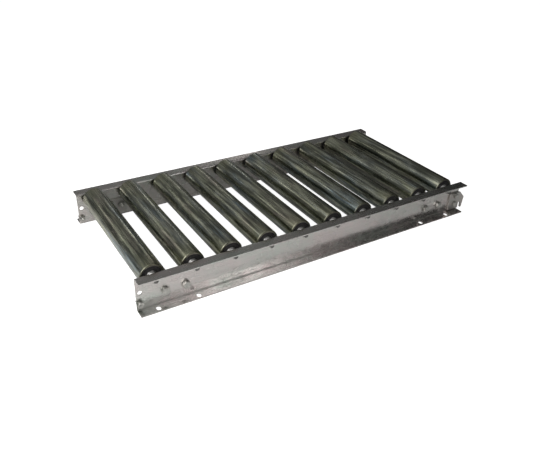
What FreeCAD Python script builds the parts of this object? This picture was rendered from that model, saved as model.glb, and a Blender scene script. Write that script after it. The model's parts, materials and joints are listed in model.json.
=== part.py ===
import FreeCAD, Part
import math
import os

V = FreeCAD.Vector

# Gravity roller conveyor section. Millimetres, +X along the conveyor towards the
# hook end, +Y across it towards the rear rail, +Z up, underside of the rails at Z = 0.

# Frame rails: bent channels, web inside, flanges pointing outwards
rail_length = 1000.0
rail_height = 90.0
flange_width = 30.0
sheet = 3.2
bend_outer_r = 5.0
inside_width = 430.0
edge_break = 0.4

# Rollers
roller_count = 10
pitch = 100.0
first_roller_inset = 45.0
tube_r = 30.25
tube_wall = 3.2
tube_length = 414.0
tube_rim_round = 2.6
axle_r = 6.0
axle_height = 75.5
axle_proud = 14.0
axle_chamfer = 1.0
axle_hole_r = 6.15

# Bearings, measured inwards from the end face of the tube
ball_r = 3.57
ball_count = 12
ball_pitch_r = 15.0
ball_depth = 8.0
groove_clearance = 0.25
cup_start = 0.8
cup_end = 14.0
cup_sleeve_inner_r = 24.75
cup_floor_start = 11.5
race_ring_outer_r = 21.2
race_ring_inner_r = 17.2
race_ring_start = 3.5
inner_race_r = 12.8
inner_race_end = 13.0
hub_r = 12.0
hub_reach = 6.0
hub_chamfer = 1.2
shaft_play = 0.03
seal_start = 1.0
seal_thickness = 1.7
seal_outer_r = 24.2
seal_dish = 0.6

# Split pins through the axle ends
split_pin_offset = 5.0
split_pin_r = 1.5
split_hole_r = 1.75
split_eye_r = 2.9
split_wire_r = 1.0
split_leg = 7.0
split_leg_angle = 38.0

# Cross members: a channel between two bolted end plates, near each end
cross_inset = 95.0
cross_bolt_spacing = 50.0
cross_bolt_height = 35.0
end_plate_width = 80.0
end_plate_height = 40.0
end_plate_thickness = 4.5
end_plate_corner_r = 4.0
cross_channel_height = 32.0
cross_channel_flange = 25.0
cross_channel_bend_r = 4.5

# Fasteners: thread radius, across flats, head height, nut height, washer radii
m10 = {"r": 5.0, "hole_r": 5.5, "flats": 17.0, "head": 6.4, "nut": 8.0,
       "washer_r": 10.5, "washer": 2.0, "spring_r": 9.2, "spring": 2.5}
m8 = {"r": 4.0, "hole_r": 4.5, "flats": 13.0, "head": 5.3, "nut": 6.5,
      "washer_r": 8.5, "washer": 1.6, "spring_r": 7.7, "spring": 2.0}
thread_stub = 3.0
thread_play = 0.02
washer_play = 0.3
spring_split = 1.2

# Holes for legs and for the splice to the next section
leg_slot_insets = (45.0, 145.0)
leg_slot_gauge = 18.0
leg_slot_width = 11.0
leg_slot_length = 16.0
splice_inset = 10.0
splice_height = 48.0
splice_hole_r = 5.5

# Coupling pins at the -X end, hook plates at the +X end
pin_inset = 8.0
pin_height = 19.0
pin_neck_r = 4.5
pin_neck_length = 6.0
pin_hole_r = 4.2
pin_collar_r = 8.0
pin_collar_thickness = 3.0
pin_collar_chamfer = 0.8
hook_thickness = 4.5
hook_back = 38.0
hook_reach = 23.0
hook_bottom = 5.5
hook_top = 58.0
hook_shoulder_reach = 4.0
hook_brow_height = 38.0
hook_nose_reach = 18.5
hook_nose_bottom = 4.5
hook_notch_half = 5.0
hook_notch_top = 23.8
hook_corner_r = 3.0
hook_tip_r = 2.0
hook_bolt_inset = 15.0
hook_bolt_heights = (24.0, 50.0)

# Worked out
web_inner = inside_width / 2.0
web_outer = web_inner + sheet
flange_tip = web_inner + flange_width
bend_inner_r = bend_outer_r - sheet
x_start = -(rail_length + hook_reach) / 2.0
x_end = x_start + rail_length
tube_end = tube_length / 2.0
tube_inner_r = tube_r - tube_wall
groove_r = ball_r + groove_clearance
roller_x = [x_start + first_roller_inset + i * pitch for i in range(roller_count)]
cross_x = (x_start + cross_inset, x_start + cross_inset + (roller_count - 2) * pitch)


def along_y(radius, y_low, y_high, x, z):
    """Solid cylinder along Y."""
    return Part.makeCylinder(radius, y_high - y_low, V(x, y_low, z), V(0, 1, 0))


def turned(profile, x, z):
    """Solid of revolution about the Y line through (x, z) from (radius, y) points."""
    points = [V(x + radius, y, z) for radius, y in profile]
    face = Part.Face(Part.makePolygon(points + points[:1]))
    return face.revolve(V(x, 0, z), V(0, 1, 0), 360)


def both_sides(shape):
    """The shape and its mirror image in the plane Y = 0."""
    return [shape, shape.mirror(V(0, 0, 0), V(0, 1, 0))]


def solids_of(shapes):
    """Flat list of the solids of a list of shapes."""
    return [solid for shape in shapes for solid in shape.Solids]


def edges_along(shape, direction, places):
    """Edges parallel to an axis whose middle lies on one of the given lines."""
    found = []
    for edge in shape.Edges:
        if not isinstance(edge.Curve, Part.Line):
            continue
        step = edge.Vertexes[-1].Point - edge.Vertexes[0].Point
        if abs(abs(step.dot(direction)) - step.Length) > 1e-6:
            continue
        middle = edge.CenterOfMass
        for place in places:
            offset = middle - place
            across = offset - direction * offset.dot(direction)
            if across.Length < 1e-6:
                found.append(edge)
    return found


def circular_edges(shape, radius):
    """Full circles of one radius."""
    return [edge for edge in shape.Edges
            if isinstance(edge.Curve, Part.Circle) and abs(edge.Curve.Radius - radius) < 1e-6]


def channel_section(length, depth, height, thickness, outer_r):
    """Channel along +X: web at Y = 0, flanges towards +Y, bottom at Z = 0."""
    block = Part.makeBox(length, depth, height)
    hollow = Part.makeBox(length, depth, height - 2 * thickness, V(0, thickness, thickness))
    channel = block.cut(hollow)
    outer = [V(0, 0, 0), V(0, 0, height)]
    channel = channel.makeFillet(outer_r, edges_along(channel, V(1, 0, 0), outer))
    inner = [V(0, thickness, thickness), V(0, thickness, height - thickness)]
    return channel.makeFillet(outer_r - thickness, edges_along(channel, V(1, 0, 0), inner))


def slot_tool(x, y, width, length):
    """Upright cutter for a slot that runs along Y."""
    half = (length - width) / 2.0
    radius = width / 2.0
    height = 3 * sheet
    tool = Part.makeBox(width, 2 * half, height, V(x - radius, y - half, -sheet))
    for end in (-half, half):
        tool = tool.fuse(Part.makeCylinder(radius, height, V(x, y + end, -sheet)))
    return tool.removeSplitter()


def make_rail():
    """Rear rail: web towards the rollers, flanges outwards, all its holes."""
    rail = channel_section(rail_length, flange_width, rail_height, sheet, bend_outer_r)
    rail.translate(V(x_start, web_inner, 0))
    tips = [V(0, flange_tip, z) for z in (0, rail_height)]
    rail = rail.makeFillet(edge_break, edges_along(rail, V(1, 0, 0), tips))
    holes = [(x, axle_height, axle_hole_r) for x in roller_x]
    holes += [(x + side * cross_bolt_spacing / 2.0, cross_bolt_height, m10["hole_r"])
              for x in cross_x for side in (-1, 1)]
    holes.append((x_start + splice_inset, splice_height, splice_hole_r))
    holes.append((x_start + pin_inset, pin_height, pin_hole_r))
    holes += [(x_end - hook_bolt_inset, z, m8["hole_r"]) for z in hook_bolt_heights]
    tools = [along_y(radius, web_inner - 1, web_outer + 1, x, z) for x, z, radius in holes]
    for inset in leg_slot_insets:
        for x in (x_start + inset, roller_x[-1] - (inset - first_roller_inset)):
            tools.append(slot_tool(x, web_inner + leg_slot_gauge, leg_slot_width, leg_slot_length))
    return rail.cut(tools)


def make_tube():
    """Roller tube of the first station, with a rolled-in outer rim at both ends."""
    x = roller_x[0]
    tube = along_y(tube_r, -tube_end, tube_end, x, axle_height)
    tube = tube.makeFillet(tube_rim_round, circular_edges(tube, tube_r))
    return tube.cut(along_y(tube_inner_r, -tube_end - 1, tube_end + 1, x, axle_height))


def ball_groove(x, y):
    """Ring-shaped space that the balls run in."""
    return Part.makeTorus(ball_pitch_r, groove_r, V(x, y, axle_height), V(0, 1, 0))


def make_bearing_cup():
    """Pressed cup in the rear end of the first tube: sleeve, floor and outer race."""
    x = roller_x[0]
    end = tube_end
    profile = [
        (tube_inner_r, end - cup_start),
        (tube_inner_r, end - cup_end),
        (race_ring_inner_r, end - cup_end),
        (race_ring_inner_r, end - race_ring_start),
        (race_ring_outer_r, end - race_ring_start),
        (race_ring_outer_r, end - cup_floor_start),
        (cup_sleeve_inner_r, end - cup_floor_start),
        (cup_sleeve_inner_r, end - cup_start),
    ]
    return turned(profile, x, axle_height).cut(ball_groove(x, end - ball_depth))


def make_inner_race():
    """Inner race with a hub that reaches out towards the rail."""
    x = roller_x[0]
    end = tube_end
    bore = axle_r + shaft_play
    profile = [
        (bore, end - inner_race_end),
        (inner_race_r, end - inner_race_end),
        (inner_race_r, end),
        (hub_r, end),
        (hub_r, end + hub_reach - hub_chamfer),
        (hub_r - hub_chamfer, end + hub_reach),
        (bore, end + hub_reach),
    ]
    return turned(profile, x, axle_height).cut(ball_groove(x, end - ball_depth))


def make_seal():
    """Dished dust seal held on the inner race."""
    inner = inner_race_r + shaft_play
    face = tube_end - seal_start
    back = face - seal_thickness
    profile = [
        (inner, face),
        (seal_outer_r - 2 * seal_dish, face),
        (seal_outer_r, face - seal_dish),
        (seal_outer_r, back),
        (inner, back),
    ]
    return turned(profile, roller_x[0], axle_height)


def make_balls():
    """Full set of loose balls of both bearings of the first roller."""
    balls = []
    for i in range(ball_count):
        angle = 2 * math.pi * i / ball_count
        x = roller_x[0] + ball_pitch_r * math.cos(angle)
        z = axle_height + ball_pitch_r * math.sin(angle)
        for y in (tube_end - ball_depth, ball_depth - tube_end):
            balls.append(Part.makeSphere(ball_r, V(x, y, z)))
    return balls


def make_axle():
    """Plain axle with chamfered ends and an upright split-pin hole near each end."""
    x = roller_x[0]
    end = web_outer + axle_proud
    axle = along_y(axle_r, -end, end, x, axle_height)
    axle = axle.makeChamfer(axle_chamfer, circular_edges(axle, axle_r))
    for side in (-1, 1):
        y = side * (web_outer + split_pin_offset)
        base = V(x, y, axle_height - 2 * axle_r)
        axle = axle.cut(Part.makeCylinder(split_hole_r, 4 * axle_r, base))
    return axle


def make_split_pin():
    """Split pin in the rear end of the first axle: eye above, legs spread below."""
    x = roller_x[0]
    y = web_outer + split_pin_offset
    top = axle_height + axle_r + 0.5
    low = axle_height - axle_r - 0.5
    pin = Part.makeCylinder(split_pin_r, top - low, V(x, y, low))
    eye = Part.makeTorus(split_eye_r - split_wire_r, split_wire_r, V(x, y, top + 1.5), V(0, 1, 0))
    pin = pin.fuse(eye)
    for side in (-1, 1):
        lean = math.radians(split_leg_angle)
        direction = V(side * math.sin(lean), 0, -math.cos(lean))
        start = V(x, y, low + split_wire_r)
        pin = pin.fuse(Part.makeCylinder(split_wire_r, split_leg, start, direction))
    return pin


def plate(outline, thickness, y_low):
    """Flat plate in the XZ plane from (x, z) corners."""
    points = [V(x, y_low, z) for x, z in outline]
    return Part.Face(Part.makePolygon(points + points[:1])).extrude(V(0, thickness, 0))


def make_end_plate(x):
    """Rear end plate of a cross member, against the inside of the web."""
    half = end_plate_width / 2.0
    low = cross_bolt_height - end_plate_height / 2.0
    high = cross_bolt_height + end_plate_height / 2.0
    corners = [(x - half, low), (x + half, low), (x + half, high), (x - half, high)]
    blank = plate(corners, end_plate_thickness, web_inner - end_plate_thickness)
    places = [V(cx, 0, cz) for cx, cz in corners]
    blank = blank.makeFillet(end_plate_corner_r, edges_along(blank, V(0, 1, 0), places))
    for side in (-1, 1):
        hole_x = x + side * cross_bolt_spacing / 2.0
        blank = blank.cut(along_y(m10["hole_r"], 0, web_outer, hole_x, cross_bolt_height))
    return blank


def make_cross_channel(x, side):
    """Channel between the end plates; side is the X direction its flanges point to."""
    length = inside_width - 2 * end_plate_thickness
    channel = channel_section(length, cross_channel_flange, cross_channel_height, sheet,
                              cross_channel_bend_r)
    channel.rotate(V(0, 0, 0), V(0, 0, 1), 90)
    channel.translate(V(x, -length / 2.0, cross_bolt_height - cross_channel_height / 2.0))
    if side > 0:
        channel = channel.mirror(V(x, 0, 0), V(1, 0, 0))
    return channel


def hexagon(size, y_low, height, x, z, chamfer_low, chamfer_high):
    """Hexagonal prism along Y with the corners turned off at the chosen ends."""
    corner_r = size["flats"] / math.sqrt(3)
    drop = (corner_r - size["flats"] / 2.0) * math.tan(math.radians(30))
    corners = [(x + corner_r * math.cos(math.radians(60 * i + 30)),
                z + corner_r * math.sin(math.radians(60 * i + 30))) for i in range(6)]
    prism = plate(corners, height, y_low)
    top_r = size["flats"] / 2.0
    y_high = y_low + height
    profile = [(0, y_low)]
    profile += [(top_r, y_low), (corner_r, y_low + drop)] if chamfer_low else [(corner_r, y_low)]
    profile += [(corner_r, y_high - drop), (top_r, y_high)] if chamfer_high else [(corner_r, y_high)]
    profile.append((0, y_high))
    return prism.common(turned(profile, x, z))


def make_bolt(size, head_y, tip_y, x, z):
    """Hexagon bolt along Y, head face at head_y, thread towards -Y."""
    head = hexagon(size, head_y, size["head"], x, z, False, True)
    shank = along_y(size["r"], tip_y, head_y + 1, x, z)
    shank = shank.makeChamfer(size["r"] * 0.16, circular_edges(shank, size["r"])[:1])
    return head.fuse(shank).removeSplitter()


def make_nut(size, y_low, x, z):
    """Hexagon nut along Y."""
    nut = hexagon(size, y_low, size["nut"], x, z, True, True)
    return nut.cut(along_y(size["r"] + thread_play, y_low - 1, y_low + size["nut"] + 1, x, z))


def make_flat_washer(size, y_low, x, z):
    """Plain washer along Y."""
    disc = along_y(size["washer_r"], y_low, y_low + size["washer"], x, z)
    return disc.cut(along_y(size["r"] + washer_play, y_low - 1, y_low + 3, x, z))


def make_spring_washer(size, y_low, x, z):
    """Split spring washer along Y."""
    ring = along_y(size["spring_r"], y_low, y_low + size["spring"], x, z)
    ring = ring.cut(along_y(size["r"] + washer_play, y_low - 1, y_low + 4, x, z))
    gap = Part.makeBox(spring_split, 6, size["spring_r"] + 1, V(x - spring_split / 2.0, y_low - 1, z))
    gap.rotate(V(x, y_low + size["spring"] / 2.0, z), V(0, 0, 1), 20)
    return ring.cut(gap)


def cross_fastener(x):
    """Bolt, spring washer, flat washer and nut of one cross-member hole, rear side."""
    z = cross_bolt_height
    head_y = web_outer + m10["spring"]
    washer_y = web_inner - end_plate_thickness - m10["washer"]
    nut_y = washer_y - m10["nut"]
    return {
        "cross_bolts": make_bolt(m10, head_y, nut_y - thread_stub, x, z),
        "cross_spring_washers": make_spring_washer(m10, web_outer, x, z),
        "cross_flat_washers": make_flat_washer(m10, washer_y, x, z),
        "cross_nuts": make_nut(m10, nut_y, x, z),
    }


def hook_fastener(z):
    """Bolt, spring washer and nut of one hook-plate hole, rear side."""
    x = x_end - hook_bolt_inset
    washer_y = web_outer + hook_thickness
    nut_y = web_inner - m8["nut"]
    return {
        "hook_bolts": make_bolt(m8, washer_y + m8["spring"], nut_y - thread_stub, x, z),
        "m8_spring_washers": make_spring_washer(m8, washer_y, x, z),
        "hook_nuts": make_nut(m8, nut_y, x, z),
    }


def coupling_fastener():
    """Collared coupling pin with its spring washer and nut, rear side."""
    x = x_start + pin_inset
    neck_end = web_outer + pin_neck_length
    collar_end = neck_end + pin_collar_thickness
    washer_y = web_inner - m8["spring"]
    nut_y = washer_y - m8["nut"]
    profile = [
        (0, nut_y - thread_stub),
        (m8["r"], nut_y - thread_stub),
        (m8["r"], web_outer),
        (pin_neck_r, web_outer),
        (pin_neck_r, neck_end),
        (pin_collar_r, neck_end),
        (pin_collar_r, collar_end - pin_collar_chamfer),
        (pin_collar_r - pin_collar_chamfer, collar_end),
        (0, collar_end),
    ]
    return {
        "coupling_pins": turned(profile, x, pin_height),
        "m8_spring_washers": make_spring_washer(m8, washer_y, x, pin_height),
        "coupling_nuts": make_nut(m8, nut_y, x, pin_height),
    }


def make_hook_plate():
    """Rear hook plate: bolted flat on the web, its nose drops over the next section's pin."""
    notch_x = x_end + pin_inset
    low_inner = (notch_x - hook_notch_half, hook_bottom)
    tip_inner = (notch_x + hook_notch_half, hook_nose_bottom)
    tip_outer = (x_end + hook_nose_reach, hook_nose_bottom)
    corners = [
        (x_end - hook_back, hook_bottom),
        (notch_x - hook_notch_half, hook_bottom),
        (notch_x - hook_notch_half, hook_notch_top),
        (notch_x + hook_notch_half, hook_notch_top),
        tip_inner,
        tip_outer,
        (x_end + hook_reach, hook_brow_height),
        (x_end + hook_shoulder_reach, hook_top),
        (x_end - hook_back, hook_top),
    ]
    hook = plate(corners, hook_thickness, web_outer)
    rounds = [
        (hook_corner_r, [corners[0], corners[6], corners[7], corners[8]]),
        (hook_tip_r, [low_inner, tip_inner, tip_outer]),
        (hook_notch_half - 0.2, [corners[2], corners[3]]),
    ]
    for radius, picked in rounds:
        places = [V(x, 0, z) for x, z in picked]
        hook = hook.makeFillet(radius, edges_along(hook, V(0, 1, 0), places))
    for z in hook_bolt_heights:
        hook = hook.cut(along_y(m8["hole_r"], 0, flange_tip, x_end - hook_bolt_inset, z))
    return hook


def export(name, shapes):
    """Write one node, as a single solid or as a group of separate solids."""
    solids = solids_of(shapes)
    shape = solids[0] if len(solids) == 1 else Part.makeCompound(solids)
    shape.exportStep(os.path.join("parts", name + ".step"))
    print(name, len(solids), "solid(s), volume", round(sum(s.Volume for s in solids)), "valid", shape.isValid())


def at_each_roller(shapes):
    """For every station, the shapes of the first one moved along to it."""
    for i in range(roller_count):
        moved = [shape.copy() for shape in shapes]
        for shape in moved:
            shape.translate(V(i * pitch, 0, 0))
        yield "%02d" % (i + 1), moved


def main():
    os.makedirs("parts", exist_ok=True)

    rear, front = both_sides(make_rail())
    export("rear_rail", [rear])
    export("front_rail", [front])

    stations = {
        "roller_tube_": [make_tube()],
        "bearing_cups_": both_sides(make_bearing_cup()),
        "bearing_balls_": make_balls(),
        "axle_": [make_axle()],
    }
    for name, shapes in stations.items():
        for number, moved in at_each_roller(shapes):
            export(name + number, moved)

    shared = {
        "bearing_inner_races": both_sides(make_inner_race()),
        "bearing_seals": both_sides(make_seal()),
        "axle_split_pins": both_sides(make_split_pin()),
    }
    for name, shapes in shared.items():
        export(name, [shape for _, moved in at_each_roller(shapes) for shape in moved])

    export("cross_channel_pin_end", [make_cross_channel(cross_x[0], -1)])
    export("cross_channel_hook_end", [make_cross_channel(cross_x[1], 1)])
    plates = [shape for x in cross_x for shape in both_sides(make_end_plate(x))]
    export("cross_end_plates", plates)

    hook_rear, hook_front = both_sides(make_hook_plate())
    export("hook_plate_rear", [hook_rear])
    export("hook_plate_front", [hook_front])

    sets = [cross_fastener(x + side * cross_bolt_spacing / 2.0) for x in cross_x for side in (-1, 1)]
    sets += [hook_fastener(z) for z in hook_bolt_heights]
    sets.append(coupling_fastener())
    groups = {}
    for fasteners in sets:
        for name, shape in fasteners.items():
            groups.setdefault(name, []).extend(both_sides(shape))
    for name, shapes in groups.items():
        export(name, shapes)


main()
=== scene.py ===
import json
import math
import random

import bmesh
import bpy
from mathutils import Matrix, Vector


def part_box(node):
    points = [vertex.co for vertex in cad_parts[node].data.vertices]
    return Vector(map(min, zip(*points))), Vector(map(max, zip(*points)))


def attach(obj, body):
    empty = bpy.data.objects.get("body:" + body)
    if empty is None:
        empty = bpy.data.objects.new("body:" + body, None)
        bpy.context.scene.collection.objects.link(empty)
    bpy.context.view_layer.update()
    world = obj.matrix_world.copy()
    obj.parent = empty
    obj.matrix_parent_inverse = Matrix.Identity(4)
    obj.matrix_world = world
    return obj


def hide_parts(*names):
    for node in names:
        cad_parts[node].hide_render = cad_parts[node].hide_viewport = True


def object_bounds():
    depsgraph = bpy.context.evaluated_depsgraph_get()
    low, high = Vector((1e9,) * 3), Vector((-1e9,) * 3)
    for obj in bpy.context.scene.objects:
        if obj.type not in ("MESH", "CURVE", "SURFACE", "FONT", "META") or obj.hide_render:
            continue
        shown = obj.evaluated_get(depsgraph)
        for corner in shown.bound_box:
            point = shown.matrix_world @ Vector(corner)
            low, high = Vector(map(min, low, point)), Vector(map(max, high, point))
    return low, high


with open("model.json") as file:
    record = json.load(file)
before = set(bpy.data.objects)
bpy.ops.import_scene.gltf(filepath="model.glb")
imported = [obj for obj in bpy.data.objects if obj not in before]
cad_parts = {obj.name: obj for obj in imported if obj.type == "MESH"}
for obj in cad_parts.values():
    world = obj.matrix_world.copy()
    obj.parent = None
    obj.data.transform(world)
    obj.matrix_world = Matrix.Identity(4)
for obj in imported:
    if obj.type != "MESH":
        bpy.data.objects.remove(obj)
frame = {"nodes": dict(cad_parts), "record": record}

MM = 0.001
cad_low, cad_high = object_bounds()


# ------------------------------------------------- sizes, in millimetres in the CAD frame

rail_low, rail_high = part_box("front_rail")
x_start = rail_low.x / MM
x_end = rail_high.x / MM
web_inner = 215.0
web_outer = 218.2

tube_low, tube_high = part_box("roller_tube_01")
roller_count = 10
pitch = 100.0
first_roller_x = (tube_low.x + tube_high.x) / 2.0 / MM
axle_z = (tube_low.z + tube_high.z) / 2.0 / MM
tube_end = tube_high.y / MM
tube_r = (tube_high.x - tube_low.x) / 2.0 / MM
tube_wall = 3.2
rim_round = 2.6
roller_x = [first_roller_x + i * pitch for i in range(roller_count)]

# r and lead are the thread's radius and pitch; head, nut, washer and spring are heights
m10 = {"r": 5.0, "flats": 17.0, "head": 6.4, "nut": 8.0, "lead": 1.5,
       "washer_r": 10.5, "washer": 2.0, "spring_r": 9.2, "spring": 2.5}
m8 = {"r": 4.0, "flats": 13.0, "head": 5.3, "nut": 6.5, "lead": 1.25,
      "spring_r": 7.7, "spring": 2.0}
thread_stub = 3.0

cross_z = 35.0
cross_bolt_spacing = 50.0
cross_x = (x_start + 95.0, x_start + 895.0)
end_plate = 4.5
cross_height = 32.0
cross_flange = 25.0
cross_bend_r = 4.5
weld_r = 2.3
weld_bead = 1.9
weld_step = 0.45

bore_r = 6.03
hub_r = 12.0
race_r = 12.8
seal_hole_r = 12.83
seal_r = 24.2
hub_stand_out = 6.0
ball_circle_r = 15.0
groove_r = 3.82

hook_thickness = 4.5
hook_bolt_x = x_end - 15.0
hook_bolt_z = (24.0, 50.0)
pin_x = x_start + 8.0
pin_z = 19.0


# ---------------------------------------------------------------- camera, floor, light, in metres

camera_lens = 40.28
camera_place = (-0.8368, -1.2659, 0.8681)
camera_target = (-0.1199, -0.1434, 0.0755)
camera_roll = math.radians(2.15)

whole = 180.0
neutral = (1.0, 0.98, 0.96)
cool = (1.0, 0.97, 0.97)
warm = (1.0, 0.98, 0.93)
warmer = (1.0, 0.98, 0.90)

# name, place, target, width and height, watts, colour, spread in degrees. Key and top stand at
# the left. The front rail mirrors front and fill. The strips far behind, in line with the
# rollers, make the thin highlights along them.
softboxes = [
    ("key", (-1.45, -0.95, 0.82), (-0.5, -0.40, 0), (1.6, 1.3), 6.6, neutral, 80),
    ("top", (-0.90, 0.15, 1.20), (-0.3, 0.0, 0), (1.4, 1.4), 2.2, (1, 0.99, 0.97), 90),
    ("front", (0.74, -1.95, 1.44), (-0.2, -0.23, 0), (0.40, 0.9), 3.2, cool, whole),
    ("fill", (0.20, -1.95, 1.44), (-0.4, -0.23, 0), (0.45, 0.9), 0.8, cool, whole),
    ("strip_right", (1.34, 3.05, 1.20), (-0.4, 3.05, 0.1), (1.5, 0.10), 1.0, warm, whole),
    ("strip_left", (-1.27, 1.76, 1.20), (0.33, 1.76, 0.1), (1.0, 0.09), 0.35, warmer, whole),
]

# how bright the studio walls are along X, from 0 at the far left to 1 at the far right
wall_levels = [(0.0, 0.13), (0.71, 0.17), (0.76, 0.11), (0.82, 0.055), (0.86, 0.015)]
wall_warmth = 0.97
floor_size = 12.0
floor_gap = 0.2 * MM
floor_glow_seen = 0.905
floor_glow = 0.015


def aim(thing, place, target, roll=0.0):
    """Puts a camera or lamp at place, looking at target, rolled about its own line of sight."""
    turn = (Vector(target) - Vector(place)).to_track_quat("-Z", "Y")
    thing.location = place
    thing.rotation_mode = "QUATERNION"
    thing.rotation_quaternion = turn @ Matrix.Rotation(roll, 3, "Z").to_quaternion()


def link(thing):
    bpy.context.scene.collection.objects.link(thing)
    return thing


def make_camera():
    data = bpy.data.cameras.new("camera")
    data.lens = camera_lens
    data.sensor_width = 36.0
    data.clip_start = 0.05
    camera = link(bpy.data.objects.new("camera", data))
    aim(camera, camera_place, camera_target, camera_roll)
    bpy.context.scene.camera = camera


def make_lights():
    """Softboxes; a spread under 180 degrees is a grid, which keeps one off the far end."""
    for name, place, target, size, power, colour, spread in softboxes:
        data = bpy.data.lights.new(name, "AREA")
        data.spread = math.radians(spread)
        data.shape = "RECTANGLE"
        data.size, data.size_y = size
        data.energy = power
        data.color = colour
        aim(link(bpy.data.objects.new(name, data)), place, target)


def make_world():
    """Dim studio walls, brighter on the left, nearly black on the right. Where the camera sees
    them directly they are white, as the floor is."""
    world = bpy.data.worlds.new("studio")
    world.use_nodes = True
    nodes = world.node_tree.nodes
    join = world.node_tree.links.new
    split = nodes.new("ShaderNodeSeparateXYZ")
    join(nodes.new("ShaderNodeTexCoord").outputs["Generated"], split.inputs[0])
    along = nodes.new("ShaderNodeMath")
    along.operation = "MULTIPLY_ADD"
    along.inputs[1].default_value = 0.5
    along.inputs[2].default_value = 0.5
    join(split.outputs["X"], along.inputs[0])
    fade = nodes.new("ShaderNodeValToRGB")
    stops = fade.color_ramp.elements
    while len(stops) < len(wall_levels):
        stops.new(0.5)
    for stop, (position, level) in zip(stops, wall_levels):
        stop.position = position
        stop.color = (level, level, level * wall_warmth, 1)
    join(along.outputs[0], fade.inputs["Fac"])
    seen = nodes.new("ShaderNodeMix")
    seen.data_type = "RGBA"
    seen.inputs[7].default_value = (1, 1, 1, 1)
    join(nodes.new("ShaderNodeLightPath").outputs["Is Camera Ray"], seen.inputs[0])
    join(fade.outputs["Color"], seen.inputs[6])
    join(seen.outputs[2], nodes["Background"].inputs["Color"])
    bpy.context.scene.world = world
    bpy.context.scene.view_settings.view_transform = "Standard"


def floor_material():
    """Pale floor that glows white to the camera, as a cut-out's background, but hardly at all
    in the metal's reflections."""
    material = bpy.data.materials.new("floor_white")
    material.use_nodes = True
    nodes = material.node_tree.nodes
    surface = nodes["Principled BSDF"]
    surface.inputs["Base Color"].default_value = (0.85, 0.85, 0.85, 1)
    surface.inputs["Roughness"].default_value = 0.9
    surface.inputs["Specular IOR Level"].default_value = 0.1
    surface.inputs["Emission Color"].default_value = (1, 1, 1, 1)
    path = nodes.new("ShaderNodeLightPath")
    glow = nodes.new("ShaderNodeMath")
    glow.operation = "MULTIPLY_ADD"
    glow.inputs[1].default_value = floor_glow_seen
    glow.inputs[2].default_value = floor_glow
    material.node_tree.links.new(path.outputs["Is Camera Ray"], glow.inputs[0])
    material.node_tree.links.new(glow.outputs[0], surface.inputs["Emission Strength"])
    return material


def make_floor():
    mesh = bpy.data.meshes.new("floor")
    shape = bmesh.new()
    bmesh.ops.create_grid(shape, x_segments=1, y_segments=1, size=floor_size)
    shape.to_mesh(mesh)
    shape.free()
    mesh.materials.append(floor_material())
    floor = link(bpy.data.objects.new("floor", mesh))
    floor.location.z = cad_low.z - floor_gap


# ---------------------------------------------------------------- finishes

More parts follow.
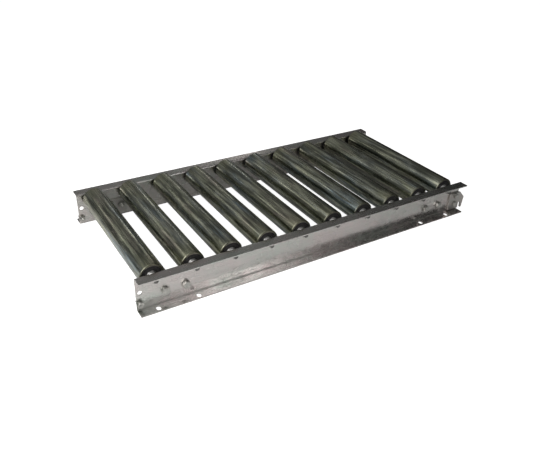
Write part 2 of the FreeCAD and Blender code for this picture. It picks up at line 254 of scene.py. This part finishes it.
class Finish:
    """A procedural material. Its patterns follow the object's own coordinates, in metres."""

    def __init__(self, name):
        self.material = bpy.data.materials.new(name)
        self.material.use_nodes = True
        self.tree = self.material.node_tree
        self.surface = self.tree.nodes["Principled BSDF"]
        self.place = self.node("ShaderNodeTexCoord").outputs["Object"]

    def feed(self, socket, value):
        if isinstance(value, bpy.types.NodeSocket):
            self.tree.links.new(value, socket)
        elif isinstance(value, tuple) and socket.type == "RGBA":
            socket.default_value = (*value, 1)
        else:
            socket.default_value = value

    def node(self, kind, inputs=None, **settings):
        made = self.tree.nodes.new(kind)
        for key, value in settings.items():
            setattr(made, key, value)
        for key, value in (inputs or {}).items():
            self.feed(made.inputs[key], value)
        return made

    def set(self, **values):
        """Sets or links sockets of the surface: Base_Color means "Base Color"."""
        for key, value in values.items():
            self.feed(self.surface.inputs[key.replace("_", " ")], value)

    def stretched(self, stretch):
        parts = {0: self.place, 1: stretch}
        return self.node("ShaderNodeVectorMath", parts, operation="MULTIPLY").outputs[0]

    def noise(self, stretch, scale, detail=3.0, roughness=0.55, distortion=0.0):
        parts = {"Vector": self.stretched(stretch), "Scale": scale, "Detail": detail,
                 "Roughness": roughness, "Distortion": distortion}
        return self.node("ShaderNodeTexNoise", parts).outputs[0]

    def span(self, value, low, high, to_low=0.0, to_high=1.0):
        """The value from low..high brought to to_low..to_high, and held there."""
        parts = {0: value, 1: low, 2: high, 3: to_low, 4: to_high}
        return self.node("ShaderNodeMapRange", parts).outputs[0]

    def math(self, operation, first, second=0.0):
        return self.node("ShaderNodeMath", {0: first, 1: second}, operation=operation).outputs[0]

    def tint(self, value, stops):
        """Colour ramp from (position, colour) stops."""
        ramp = self.node("ShaderNodeValToRGB", {"Fac": value})
        elements = ramp.color_ramp.elements
        while len(elements) < len(stops):
            elements.new(0.5)
        for element, (position, colour) in zip(elements, stops):
            element.position = position
            element.color = (*colour, 1)
        return ramp.outputs["Color"]

    def blend(self, amount, first, second):
        """Colour between first and second."""
        parts = {0: amount, 6: first, 7: second}
        return self.node("ShaderNodeMix", parts, data_type="RGBA").outputs[2]

    def mix(self, amount, first, second):
        """Number between first and second."""
        return self.node("ShaderNodeMix", {0: amount, 2: first, 3: second}).outputs[0]

    def bump(self, height, depth, strength, normal=None):
        """Normal from a 0..1 height that is depth metres deep."""
        parts = {"Height": height, "Distance": depth, "Strength": strength}
        if normal is not None:
            parts["Normal"] = normal
        return self.node("ShaderNodeBump", parts).outputs[0]

    def edges(self, radius):
        """(rounded normal, mask that is 1 on sharp edges) for edges about radius metres wide."""
        round_normal = self.node("ShaderNodeBevel", {"Radius": radius}, samples=6).outputs[0]
        flat = self.node("ShaderNodeNewGeometry").outputs["Normal"]
        parts = {0: round_normal, 1: flat}
        match = self.node("ShaderNodeVectorMath", parts, operation="DOT_PRODUCT").outputs["Value"]
        return round_normal, self.span(match, 0.90, 0.995, 1.0, 0.0)

    def scratches(self, stretch, scale, width, seed_scale):
        """Hair lines where a noise crosses its middle, broken up by a second noise."""
        level = self.noise(stretch, scale, 1.0, 0.4, 0.3)
        away = self.math("ABSOLUTE", self.math("SUBTRACT", level, 0.5))
        line = self.span(away, 0.0, width, 1.0, 0.0)
        patch = self.noise((1, 1, 1), seed_scale, 2.0)
        return self.math("MULTIPLY", line, self.span(patch, 0.52, 0.62))

    def corner_shade_mask(self, distance):
        """1 in corners and next to bolts, where shade falls, 0 in the open: a mask for painting
        shade there.
        """
        shade = self.node("ShaderNodeAmbientOcclusion", {"Distance": distance}, samples=6)
        return self.span(shade.outputs["AO"], 0.45, 0.9, 1.0, 0.0)


def sheet_finish(name, along, grey, pink, green, roughness):
    """Plated sheet steel: faint pink and green clouds, rolling lines, hair scratches, worn edges.
    along is the axis that the lines run along."""
    f = Finish(name)
    line_stretch = tuple(0.02 if axis == along else 1.0 for axis in "XYZ")
    clouds = tuple(0.45 if axis == along else 1.0 for axis in "XYZ")
    cloud = f.noise(clouds, 16.0, 3.0, 0.6, 0.4)
    small_cloud = f.noise((1, 1, 1), 60.0, 3.0, 0.6)
    mixed = f.mix(0.35, cloud, small_cloud)
    colour = f.tint(mixed, [(0.36, green), (0.49, grey), (0.62, pink)])
    grain = f.noise(line_stretch, 620.0, 3.0, 0.6)
    mottle = f.noise((1, 1, 1), 300.0, 3.0, 0.65)
    colour = f.blend(f.span(grain, 0.35, 0.7, 0.0, 0.35), colour, (0.42, 0.42, 0.40))
    colour = f.blend(f.span(mottle, 0.55, 0.75, 0.0, 0.22), colour, (0.78, 0.77, 0.75))
    scratch = f.scratches(clouds, 28.0, 0.006, 30.0)
    colour = f.blend(f.math("MULTIPLY", scratch, 0.3), colour, (0.85, 0.85, 0.83))
    # Painted shade: the colour is darker in corners and next to bolts, from ambient occlusion.
    # These corners are also made rougher.
    painted_corner_shade = f.corner_shade_mask(0.006)
    colour = f.blend(f.math("MULTIPLY", painted_corner_shade, 0.5), colour, (0.14, 0.14, 0.12))
    round_normal, worn = f.edges(0.7 * MM)
    colour = f.blend(f.math("MULTIPLY", worn, 0.5), colour, (0.82, 0.81, 0.79))
    smudge = f.noise((1, 1, 1), 22.0, 4.0, 0.6, 0.6)
    rough = f.span(smudge, 0.3, 0.7, roughness - 0.06, roughness + 0.07)
    rough = f.math("ADD", rough, f.span(grain, 0.3, 0.7, -0.03, 0.04))
    rough = f.math("ADD", rough, f.math("MULTIPLY", painted_corner_shade, 0.2))
    waves = f.bump(f.noise(clouds, 12.0, 1.0), 0.2 * MM, 0.6, round_normal)
    lines = f.bump(grain, 0.010 * MM, 0.5, waves)
    pits = f.bump(mottle, 0.006 * MM, 0.5, lines)
    normal = f.bump(scratch, 0.004 * MM, 0.5, pits)
    f.set(Base_Color=colour, Metallic=1.0, Roughness=rough, Normal=normal)
    return f.material


def roller_finish():
    """Chromated zinc tube: lengthwise olive, blue-grey and brown streaks, drawing lines, a seam."""
    f = Finish("roller_chromate")
    streak = f.noise((1, 0.06, 1), 150.0, 4.0, 0.6, 0.25)
    thread = f.noise((1, 0.030, 1), 330.0, 2.0, 0.5, 0.2)
    patch = f.noise((1, 0.16, 1), 26.0, 3.0, 0.55, 0.5)
    hair = f.noise((1, 0.004, 1), 1100.0, 3.0, 0.6)
    olive = (0.54, 0.57, 0.43)
    blue = (0.37, 0.47, 0.53)
    brown = (0.56, 0.50, 0.44)
    grey = (0.51, 0.54, 0.49)
    colour = f.tint(patch, [(0.34, blue), (0.45, grey), (0.54, olive), (0.68, brown)])
    colour = f.blend(f.span(streak, 0.40, 0.53, 0.90, 0.0), colour, (0.13, 0.14, 0.115))
    colour = f.blend(f.span(streak, 0.54, 0.64, 0.0, 0.75), colour, (0.86, 0.88, 0.70))
    colour = f.blend(f.span(thread, 0.38, 0.52, 0.60, 0.0), colour, (0.16, 0.17, 0.14))
    colour = f.blend(f.span(hair, 0.45, 0.75, 0.0, 0.4), colour, (0.22, 0.23, 0.18))
    uv = f.node("ShaderNodeSeparateXYZ", {0: f.node("ShaderNodeTexCoord").outputs["UV"]})
    from_middle = f.math("ABSOLUTE", f.math("SUBTRACT", uv.outputs["Y"], 0.5))
    near_end = f.span(from_middle, 0.36, 0.5)
    # Yellower near both ends: a chromate tone that also stands in for the warm reflection the tube
    # ends catch, so it is partly painted reflection.
    end_tint_and_reflection = f.math("MULTIPLY", near_end, f.span(patch, 0.35, 0.6))
    colour = f.blend(f.math("MULTIPLY", end_tint_and_reflection, 0.5), colour, (0.50, 0.50, 0.33))
    from_seam = f.math("ABSOLUTE", f.math("SUBTRACT", uv.outputs["X"], 0.5))
    seam = f.span(from_seam, 0.0025, 0.006, 1.0, 0.0)
    colour = f.blend(f.math("MULTIPLY", seam, 0.45), colour, (0.26, 0.28, 0.30))
    scratch = f.scratches((1, 0.6, 1), 45.0, 0.006, 26.0)
    colour = f.blend(f.math("MULTIPLY", scratch, 0.4), colour, (0.8, 0.8, 0.7))
    smudge = f.noise((1, 0.3, 1), 30.0, 4.0, 0.6, 0.5)
    rough = f.span(smudge, 0.3, 0.7, 0.16, 0.30)
    rough = f.math("ADD", rough, f.span(hair, 0.3, 0.7, -0.03, 0.05))
    # Painted shade: the rolled rim at each tube end is darkened in colour, and it is also made
    # rougher.
    rim = f.span(from_middle, 0.490, 0.496)
    rough = f.math("ADD", rough, f.math("MULTIPLY", rim, 0.08))
    colour = f.blend(f.math("MULTIPLY", rim, 0.8), colour, (0.15, 0.15, 0.11))
    waves = f.bump(f.noise((1, 0.05, 1), 40.0, 2.0), 0.10 * MM, 0.6)
    lines = f.bump(hair, 0.006 * MM, 0.5, waves)
    raised = f.bump(seam, 0.05 * MM, 0.5, lines)
    f.set(Base_Color=colour, Metallic=1.0, Roughness=rough, Normal=raised)
    f.set(Coat_Weight=0.25, Coat_Roughness=0.12, Coat_IOR=1.45, Anisotropic=0.3)
    return f.material


def turned_finish(name, light, dark, roughness):
    """Machined steel: fine lathe lines round the Y axis, oily patches, worn edges."""
    f = Finish(name)
    cut = f.noise((0.02, 1, 0.02), 2600.0, 2.0, 0.5)
    patch = f.noise((1, 1, 1), 120.0, 3.0, 0.6, 0.4)
    colour = f.blend(f.span(patch, 0.35, 0.65), light, dark)
    colour = f.blend(f.span(cut, 0.45, 0.7, 0.0, 0.35), colour, tuple(0.55 * c for c in dark))
    # Painted shade: the colour is darker in corners and recesses, from ambient occlusion.
    painted_corner_shade = f.corner_shade_mask(0.003)
    colour = f.blend(f.math("MULTIPLY", painted_corner_shade, 0.5), colour, (0.06, 0.06, 0.05))
    round_normal, worn = f.edges(0.25 * MM)
    colour = f.blend(f.math("MULTIPLY", worn, 0.35), colour, (0.75, 0.75, 0.72))
    rough = f.span(patch, 0.3, 0.7, roughness - 0.05, roughness + 0.08)
    normal = f.bump(cut, 0.006 * MM, 0.6, round_normal)
    f.set(Base_Color=colour, Metallic=1.0, Roughness=rough, Normal=normal, Anisotropic=0.35)
    return f.material


def fastener_finish(name, light, dark, roughness):
    """Zinc-plated forged steel: soft mottling, tiny pits, bright worn corners."""
    f = Finish(name)
    patch = f.noise((1, 1, 1), 190.0, 4.0, 0.6, 0.5)
    pits = f.noise((1, 1, 1), 1300.0, 2.0, 0.6)
    colour = f.blend(f.span(patch, 0.35, 0.65), light, dark)
    colour = f.blend(f.span(pits, 0.58, 0.72, 0.0, 0.5), colour, (0.15, 0.15, 0.14))
    # Painted shade: the colour is darker where heads, washers and nuts meet other parts, from
    # ambient occlusion.
    painted_corner_shade = f.corner_shade_mask(0.004)
    colour = f.blend(f.math("MULTIPLY", painted_corner_shade, 0.6), colour, (0.05, 0.05, 0.045))
    round_normal, worn = f.edges(0.35 * MM)
    colour = f.blend(f.math("MULTIPLY", worn, 0.3), colour, (0.72, 0.71, 0.68))
    rough = f.span(patch, 0.3, 0.7, roughness - 0.06, roughness + 0.10)
    normal = f.bump(pits, 0.02 * MM, 0.5, round_normal)
    f.set(Base_Color=colour, Metallic=1.0, Roughness=rough, Normal=normal)
    return f.material


def rubber_finish():
    """Black nitrile seal: matt, slightly dusty, with fine specks."""
    f = Finish("seal_rubber")
    dust = f.noise((1, 1, 1), 240.0, 4.0, 0.65)
    speck = f.noise((1, 1, 1), 1500.0, 2.0, 0.5)
    dusty = f.span(dust, 0.45, 0.75, 0.0, 0.5)
    colour = f.blend(dusty, (0.012, 0.012, 0.013), (0.05, 0.048, 0.044))
    colour = f.blend(f.span(speck, 0.62, 0.72, 0.0, 0.4), colour, (0.12, 0.115, 0.105))
    rough = f.span(dust, 0.3, 0.7, 0.42, 0.66)
    f.set(Base_Color=colour, Metallic=0.0, Roughness=rough, Normal=f.bump(speck, 0.015 * MM, 0.5))
    f.set(Specular_IOR_Level=0.35, Sheen_Weight=0.08, Sheen_Roughness=0.5)
    return f.material


def weld_finish():
    """Arc weld: grey bead with straw and blue heat tints and specks of spatter."""
    f = Finish("weld_metal")
    heat = f.noise((1, 1, 1), 210.0, 3.0, 0.6, 0.6)
    speck = f.noise((1, 1, 1), 1100.0, 2.0, 0.6)
    colour = f.tint(heat, [(0.35, (0.11, 0.12, 0.15)), (0.5, (0.22, 0.21, 0.20)),
                           (0.65, (0.30, 0.24, 0.15))])
    colour = f.blend(f.span(speck, 0.6, 0.7), colour, (0.05, 0.045, 0.04))
    rough = f.span(heat, 0.3, 0.7, 0.32, 0.55)
    f.set(Base_Color=colour, Metallic=1.0, Roughness=rough, Normal=f.bump(speck, 0.05 * MM, 0.6))
    return f.material


def make_finishes():
    """Finishes by the record's material slots, and the one for the weld beads."""
    return {
        "rail_steel": sheet_finish("rail_zinc", "X", (0.66, 0.645, 0.63),
                                   (0.70, 0.640, 0.635), (0.61, 0.645, 0.61), 0.25),
        "cross_steel": sheet_finish("cross_zinc", "Y", (0.55, 0.545, 0.53),
                                    (0.58, 0.54, 0.53), (0.51, 0.54, 0.51), 0.40),
        "hook_steel": sheet_finish("hook_zinc", "X", (0.58, 0.57, 0.55),
                                   (0.61, 0.565, 0.54), (0.53, 0.56, 0.52), 0.40),
        "roller_zinc": roller_finish(),
        "cup_steel": fastener_finish("cup_pressed", (0.36, 0.35, 0.30), (0.24, 0.24, 0.20), 0.3),
        "ball_steel": turned_finish("ball_polished", (0.72, 0.72, 0.71), (0.62, 0.62, 0.62), 0.08),
        "axle_steel": turned_finish("axle_drawn", (0.24, 0.235, 0.23), (0.16, 0.16, 0.155), 0.34),
        "race_steel": turned_finish("race_turned", (0.85, 0.85, 0.84), (0.70, 0.70, 0.69), 0.30),
        "seal_black": rubber_finish(),
        "fastener_zinc": fastener_finish("fastener_plated", (0.62, 0.62, 0.59),
                                         (0.45, 0.45, 0.43), 0.38),
        "weld": weld_finish(),
    }


# ---------------------------------------------------------------- shapes turned about Y

# A shape is (points, faces, uvs): points in millimetres about a Y axis through the origin,
# uvs as one (u, v) for each corner of each face.

def ring_grid(rows, segments, closed=False, phase=0.0):
    """Surface of revolution from rows, each a function of the angle or a (radius, y) pair."""
    points, faces, uvs = [], [], []
    step = 2 * math.pi / segments
    for row in rows:
        for i in range(segments):
            angle = i * step
            radius, y = row(angle) if callable(row) else row
            turned = angle + phase
            points.append((radius * math.cos(turned), y, radius * math.sin(turned)))
    bands = len(rows) if closed else len(rows) - 1
    for j in range(bands):
        low = j * segments
        high = ((j + 1) % len(rows)) * segments
        for i in range(segments):
            k = (i + 1) % segments
            faces.append((low + i, low + k, high + k, high + i))
            u = (i / segments, (i + 1) / segments)
            v = (points[low][1], points[high][1])
            uvs.append(((u[0], v[0]), (u[1], v[0]), (u[1], v[1]), (u[0], v[1])))
    return points, faces, uvs


def sweep(path, section, capped=True):
    """Sweeps section(i), a list of (out, y), along an XZ path; out is left of the path's way."""
    points, faces, uvs = [], [], []
    count = len(section(0))
    for i, (x, z) in enumerate(path):
        before = path[max(i - 1, 0)]
        after = path[min(i + 1, len(path) - 1)]
        way = Vector((after[0] - before[0], after[1] - before[1])).normalized()
        for out, y in section(i):
            points.append((x - way.y * out, y, z + way.x * out))
    for i in range(len(path) - 1):
        for j in range(count):
            k = (j + 1) % count
            faces.append((i * count + j, i * count + k, (i + 1) * count + k, (i + 1) * count + j))
            uvs.append(((0, 0), (1, 0), (1, 1), (0, 1)))
    if capped:
        last = (len(path) - 1) * count
        faces.append(tuple(range(count))[::-1])
        faces.append(tuple(last + j for j in range(count)))
        uvs.append(((0, 0),) * count)
        uvs.append(((0, 0),) * count)
    return points, faces, uvs


def placed(shape, x, z, side=1):
    """The shape moved to the Y line through (x, z); side -1 mirrors it in Y."""
    points, faces, uvs = shape
    moved = [(x + px, side * py, z + pz) for px, py, pz in points]
    return moved, faces, uvs


def make_piece(name, shapes, body, node, material, sharp=32.0, uv_span=None):
    """One mesh from many shapes: it rides on body, hides the CAD node it stands for, if any, and
    takes the given material.
    """
    points, faces, uvs = [], [], []
    for shape_points, shape_faces, shape_uvs in shapes:
        start = len(points)
        points += [Vector(p) * MM for p in shape_points]
        faces += [tuple(start + i for i in face) for face in shape_faces]
        uvs += shape_uvs
    mesh = bpy.data.meshes.new(name)
    mesh.from_pydata(points, [], faces)
    layer = mesh.uv_layers.new(name="UVMap")
    low, high = uv_span or (0.0, 1.0)
    for polygon, corners in zip(mesh.polygons, uvs):
        for loop, (u, v) in zip(polygon.loop_indices, corners):
            layer.data[loop].uv = (u, (v - low) / (high - low))
    shape = bmesh.new()
    shape.from_mesh(mesh)
    bmesh.ops.remove_doubles(shape, verts=shape.verts, dist=0.002 * MM)
    bmesh.ops.dissolve_degenerate(shape, edges=shape.edges, dist=0.001 * MM)
    bmesh.ops.recalc_face_normals(shape, faces=shape.faces)
    for face in shape.faces:
        face.smooth = True
    shape.to_mesh(mesh)
    shape.free()
    mesh.set_sharp_from_angle(angle=math.radians(sharp))
    mesh.materials.append(material)
    piece = link(bpy.data.objects.new(name, mesh))
    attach(piece, body)
    if node:
        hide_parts(node)
    return piece


def arc(centre_r, centre_y, radius, start, end, steps):
    """Points of a profile arc in degrees, 0 outwards and 90 towards +Y."""
    found = []
    for i in range(steps + 1):
        angle = math.radians(start + (end - start) * i / steps)
        found.append((centre_r + radius * math.cos(angle), centre_y + radius * math.sin(angle)))
    return found


# ---------------------------------------------------------------- rollers and bearings

def roller_skin():
    """Tube with its rims rolled in, closed round the wall."""
    inner = tube_r - tube_wall
    half = tube_end - rim_round
    far = arc(tube_r - rim_round, half, rim_round, 0, 90, 10)
    near = arc(tube_r - rim_round, -half, rim_round, -90, 0, 10)
    middle = [(tube_r, y * half / 4.0) for y in (-3, -2, -1, 0, 1, 2, 3)]
    lip = [(inner + 0.25, tube_end), (inner, tube_end - 0.3)]
    back = [(inner, 0.3 - tube_end), (inner + 0.25, -tube_end)]
    return near + middle + far + lip + back


def make_rollers(finish):
    dice = random.Random(7)
    profile = roller_skin()
    for number, x in enumerate(roller_x, 1):
        skin = ring_grid(profile, 160, closed=True, phase=dice.uniform(0, 2 * math.pi))
        make_piece("roller_skin_%02d" % number, [placed(skin, x, axle_z)], "roller_%02d" % number,
                   "roller_tube_%02d" % number, finish, 30.0, (-tube_end, tube_end))


def seal_profile():
    """Stepped dust seal: outer lip, shallow groove, raised land, dished middle."""
    face = tube_end - 1.0
    back = face - 1.7
    lip = [(seal_r, face - 0.75), (23.9, face - 0.3), (23.2, face - 0.05), (22.3, face)]
    groove = [(21.7, face - 0.1), (21.5, face - 0.5), (20.9, face - 0.55), (20.6, face - 0.2)]
    land = [(20.2, face - 0.05), (17.6, face - 0.05)]
    dish = [(17.1, face - 0.3), (16.6, face - 0.65), (15.0, face - 0.7), (14.3, face - 0.45)]
    inner_lip = [(13.8, face - 0.05), (13.2, face), (seal_hole_r, face - 0.15)]
    return [(seal_hole_r, back), (seal_r, back)] + lip + groove + land + dish + inner_lip


def hub_profile():
    """Inner race with its ball groove, and the hub with a rounded nose and a turned line."""
    end = tube_end
    tip = end + hub_stand_out
    nose_round = 3.6
    groove = arc(ball_circle_r, end - 8.0, groove_r, 236, 124, 10)
    nose = arc(hub_r - nose_round, tip - nose_round, nose_round, 0, 90, 10)
    race = [(bore_r, end - 13), (12.6, end - 13), (race_r, end - 12.8)] + groove
    race += [(race_r, end - 0.2), (12.6, end), (hub_r, end + 0.05)]
    turned_line = [(hub_r, end + 1.2), (11.8, end + 1.4), (11.8, end + 1.7), (hub_r, end + 1.9)]
    bore = [(7.2, tip), (6.6, tip - 0.1), (bore_r, tip - 0.6)]
    return race + turned_line + nose + bore


def make_bearings(finish):
    seal = ring_grid(seal_profile(), 96, closed=True)
    hub = ring_grid(hub_profile(), 96, closed=True)
    stations = [(x, side) for x in roller_x for side in (-1, 1)]
    seals = [placed(seal, x, axle_z, side) for x, side in stations]
    hubs = [placed(hub, x, axle_z, side) for x, side in stations]
    make_piece("seal_rings", seals, "frame", "bearing_seals", finish["seal_black"])
    make_piece("race_hubs", hubs, "frame", "bearing_inner_races",
               finish["race_steel"])


def split_pin(half_r=1.45, leg=7.0, lean=38.0, eye_z=8.0, leg_z=-5.5):
    """One half-round wire bent double: eye above the axle, legs spread below it."""
    lean = math.radians(lean)
    tip = (-leg * math.sin(lean), leg_z - leg * math.cos(lean))
    path = [tip, (tip[0] * 0.35, leg_z + (tip[1] - leg_z) * 0.35), (-0.25, leg_z - 0.1)]
    path += [(-0.03, leg_z + 0.7), (-0.02, 0.0), (-0.02, eye_z - half_r - 1.2)]
    for i in range(19):
        angle = math.radians(-112 - i * (316.0 / 18.0))
        path.append((half_r * math.cos(angle), eye_z + half_r * math.sin(angle)))
    path += [(-x, z) for x, z in reversed(path[:6])]
    section = [(half_r * math.cos(t), half_r * math.sin(t))
               for t in [math.radians(-90 + 18 * i) for i in range(11)]]
    return sweep(path, lambda i: section)


def make_split_pins(finish):
    points, faces, uvs = split_pin()
    shifted = ([(x, y + web_outer + 5.0, z) for x, y, z in points], faces, uvs)
    pins = [placed(shifted, x, axle_z, side) for x in roller_x for side in (-1, 1)]
    make_piece("split_pin_wires", pins, "frame", "axle_split_pins",
               finish["fastener_zinc"], 40.0)


# ---------------------------------------------------------------- fasteners

def hex_radius(size, angle):
    """Distance from the axis to a hexagon's flats, at an angle from the middle of one."""
    sixth = math.radians(60)
    return size["flats"] / 2.0 / math.cos((angle + sixth / 2) % sixth - sixth / 2)


def hex_row(size, y, bevel=0.0):
    """Row round the hexagon at y; bevel is the way its corners are turned back, +1 or -1."""
    cone_r = size["flats"] / 2.0 - 0.25

    def row(angle):
        radius = hex_radius(size, angle)
        return radius, y - bevel * (radius - cone_r) * math.tan(math.radians(28))
    return row


def thread_rows(size, y_low, y_high):
    """Rows of a helical thread along +Y with a bevelled tip at y_low."""
    depth = 0.61 * size["lead"]
    count = int((y_high - y_low) / size["lead"] * 8)

    def row_at(y):
        def row(angle):
            turn = (y / size["lead"] - angle / (2 * math.pi)) % 1.0
            groove = max(0.0, 1.0 - abs(turn - 0.5) / 0.42)
            tip_r = size["r"] - 0.95 * size["lead"] + (y - y_low)
            return min(size["r"] - depth * groove, max(tip_r, size["r"] * 0.7)), y
        return row
    return [row_at(y_low + (y_high - y_low) * i / count) for i in range(count + 1)]


def bolt_shape(size, head_y, tip_y, nut_high, dice):
    """Hexagon bolt: dished head with turned corners, plain shank, threaded end."""
    top = head_y + size["head"]
    flat_r = size["flats"] / 2.0
    head = [(0.0, top - 0.3), (flat_r * 0.55, top - 0.3), (flat_r * 0.68, top - 0.05),
            (flat_r - 0.6, top), (flat_r - 0.25, top), hex_row(size, top, 1),
            hex_row(size, head_y + 0.4), (flat_r * 0.97, head_y + 0.4), (flat_r * 0.97, head_y),
            (size["r"], head_y), (size["r"], nut_high)]
    tip = list(reversed(thread_rows(size, tip_y, nut_high - 0.01))) + [(0.0, tip_y)]
    return ring_grid(head + tip, 96, phase=dice.uniform(0, math.pi / 3))


def nut_shape(size, y_low, dice):
    """Hexagon nut with both faces turned back and a countersunk hole."""
    y_high = y_low + size["nut"]
    flat_r = size["flats"] / 2.0
    hole = size["r"] + 0.02
    rows = [(hole, y_low + 0.8), (hole + 0.8, y_low), (flat_r - 0.25, y_low),
            hex_row(size, y_low, -1), hex_row(size, y_high, 1), (flat_r - 0.25, y_high),
            (hole + 0.8, y_high), (hole, y_high - 0.8)]
    return ring_grid(rows, 96, closed=True, phase=dice.uniform(0, math.pi / 3))


def flat_washer_shape(size, y_low):
    """Stamped washer: rounded on one side, sharp on the other."""
    inner, outer = size["r"] + 0.3, size["washer_r"]
    y_high = y_low + size["washer"]
    rows = [(inner, y_low), (outer, y_low), (outer, y_high - 0.6)]
    rows += arc(outer - 0.6, y_high - 0.6, 0.6, 15, 90, 4)
    rows += [(inner + 0.4, y_high), (inner, y_high - 0.3)]
    return ring_grid(rows, 72, closed=True)


def spring_washer_shape(size, y_low, dice):
    """Split ring of square wire, its ends sprung slightly apart."""
    inner, outer = size["r"] + 0.3, size["spring_r"]
    middle, half = (inner + outer) / 2.0, (outer - inner) / 2.0
    steps = 64
    sprung = 0.24
    corner = 0.25
    gap = math.radians(11)
    start = dice.uniform(0, 2 * math.pi)
    thick = size["spring"] - sprung
    path = []
    for i in range(steps + 1):
        angle = start + gap / 2 + (2 * math.pi - gap) * i / steps
        path.append((middle * math.cos(angle), middle * math.sin(angle)))

    def section(i):
        lift = y_low + sprung * i / steps
        box = [(-half + corner, 0), (half - corner, 0), (half, corner), (half, thick - corner),
               (half - corner, thick), (-half + corner, thick), (-half, thick - corner),
               (-half, corner)]
        return [(-out, lift + y) for out, y in box]
    return sweep(path, section)


def coupling_pin_shape(washer_y, nut_y):
    """Pin with a rounded collar and a threaded tail."""
    neck_end = web_outer + 6.0
    collar_end = neck_end + 3.0
    rows = [(0.0, collar_end - 0.15), (2.2, collar_end - 0.15), (2.6, collar_end)]
    rows += [(7.1, collar_end)] + arc(7.1, collar_end - 0.9, 0.9, 80, 0, 5)
    rows += [(8.0, neck_end + 0.4), (7.7, neck_end), (4.9, neck_end), (4.5, neck_end - 0.4)]
    rows += [(4.5, web_outer + 0.4), (4.9, web_outer), (4.0, web_outer), (4.0, washer_y + 2.0)]
    rows += list(reversed(thread_rows(m8, nut_y - thread_stub, washer_y + 1.99)))
    rows += [(0.0, nut_y - thread_stub)]
    return ring_grid(rows, 96)


def make_zinc_pieces(pieces, finish):
    """Pieces from (name, shapes, the CAD node they stand for), all plated and on the frame."""
    for name, shapes, node in pieces:
        make_piece(name, shapes, "frame", node, finish["fastener_zinc"])


def make_cross_fasteners(finish):
    dice = random.Random(11)
    bolts, springs, washers, nuts = [], [], [], []
    washer_y = web_inner - end_plate - m10["washer"]
    nut_y = washer_y - m10["nut"]
    for x in [c + s * cross_bolt_spacing / 2.0 for c in cross_x for s in (-1, 1)]:
        for side in (-1, 1):
            bolt = bolt_shape(m10, web_outer + m10["spring"], nut_y - thread_stub, washer_y, dice)
            bolts.append(placed(bolt, x, cross_z, side))
            springs.append(placed(spring_washer_shape(m10, web_outer, dice), x, cross_z, side))
            washers.append(placed(flat_washer_shape(m10, washer_y), x, cross_z, side))
            nuts.append(placed(nut_shape(m10, nut_y, dice), x, cross_z, side))
    pieces = (("cross_bolt_hex", bolts, "cross_bolts"),
              ("cross_spring_rings", springs, "cross_spring_washers"),
              ("cross_flat_rings", washers, "cross_flat_washers"),
              ("cross_nut_hex", nuts, "cross_nuts"))
    make_zinc_pieces(pieces, finish)


def make_m8_fasteners(finish):
    dice = random.Random(23)
    bolts, springs, nuts, pins, pin_nuts = [], [], [], [], []
    outer_y = web_outer + hook_thickness
    nut_y = web_inner - m8["nut"]
    pin_washer_y = web_inner - m8["spring"]
    pin_nut_y = pin_washer_y - m8["nut"]
    for side in (-1, 1):
        for z in hook_bolt_z:
            bolt = bolt_shape(m8, outer_y + m8["spring"], nut_y - thread_stub, web_inner, dice)
            bolts.append(placed(bolt, hook_bolt_x, z, side))
            springs.append(placed(spring_washer_shape(m8, outer_y, dice), hook_bolt_x, z, side))
            nuts.append(placed(nut_shape(m8, nut_y, dice), hook_bolt_x, z, side))
        pins.append(placed(coupling_pin_shape(pin_washer_y, pin_nut_y), pin_x, pin_z, side))
        springs.append(placed(spring_washer_shape(m8, pin_washer_y, dice), pin_x, pin_z, side))
        pin_nuts.append(placed(nut_shape(m8, pin_nut_y, dice), pin_x, pin_z, side))
    pieces = (("hook_bolt_hex", bolts, "hook_bolts"),
              ("hook_nut_hex", nuts, "hook_nuts"),
              ("m8_spring_rings", springs, "m8_spring_washers"),
              ("coupling_pin_turned", pins, "coupling_pins"),
              ("coupling_nut_hex", pin_nuts, "coupling_nuts"))
    make_zinc_pieces(pieces, finish)


# ---------------------------------------------------------------- cross members

def channel_outline(web_x, way):
    """Outside of a cross channel in XZ, flange tip to flange tip; way is where flanges point."""
    low, high = cross_z - cross_height / 2.0, cross_z + cross_height / 2.0
    r = cross_bend_r
    tip_x = web_x + way * cross_flange
    corner = [(web_x + way * r - way * r * math.cos(math.radians(a)),
               high - r + r * math.sin(math.radians(a))) for a in (90, 67, 45, 22, 0)]
    top = [(tip_x, high)] + corner
    return top + [(x, low + high - z) for x, z in reversed(top)]


def fine_path(path, step):
    """The path cut into pieces of about step millimetres."""
    found = []
    for (ax, az), (bx, bz) in zip(path, path[1:]):
        count = max(1, round(math.hypot(bx - ax, bz - az) / step))
        found += [(ax + (bx - ax) * i / count, az + (bz - az) * i / count) for i in range(count)]
    return found + [path[-1]]


def weld_shape(web_x, way, dice):
    """Rippled fillet bead round one end of a cross channel, against its end plate."""
    path = fine_path(channel_outline(web_x, way), weld_step)
    face_y = web_inner - end_plate
    wander = [dice.uniform(-0.15, 0.15) for _ in path]

    def section(i):
        ripple = 0.16 * abs(math.sin(i * weld_step * math.pi / weld_bead))
        radius = weld_r + ripple + wander[i // 9 * 9] - 0.3
        if i in (0, len(path) - 1):
            radius *= 0.55
        return [(radius * math.cos(t), face_y + radius * math.sin(t) * 0.9)
                for t in [2 * math.pi * k / 14 for k in range(14)]]
    return sweep(path, section)


def make_welds(finish):
    dice = random.Random(5)
    ends = (("weld_beads_pin_end", cross_x[0], -1), ("weld_beads_hook_end", cross_x[1], 1))
    for name, web_x, way in ends:
        beads = [placed(weld_shape(web_x, way, dice), 0, 0, side) for side in (-1, 1)]
        make_piece(name, beads, "frame", None, finish["weld"], 60.0)


# ---------------------------------------------------------------- the scene

make_camera()
make_world()
make_lights()
make_floor()
finishes = make_finishes()
for part in frame["record"]["subparts"]:
    node = frame["nodes"][part["node"]]
    node.data.materials.clear()
    node.data.materials.append(finishes[part["material_slot"]])
make_rollers(finishes["roller_zinc"])
make_bearings(finishes)
make_split_pins(finishes)
make_cross_fasteners(finishes)
make_m8_fasteners(finishes)
make_welds(finishes)
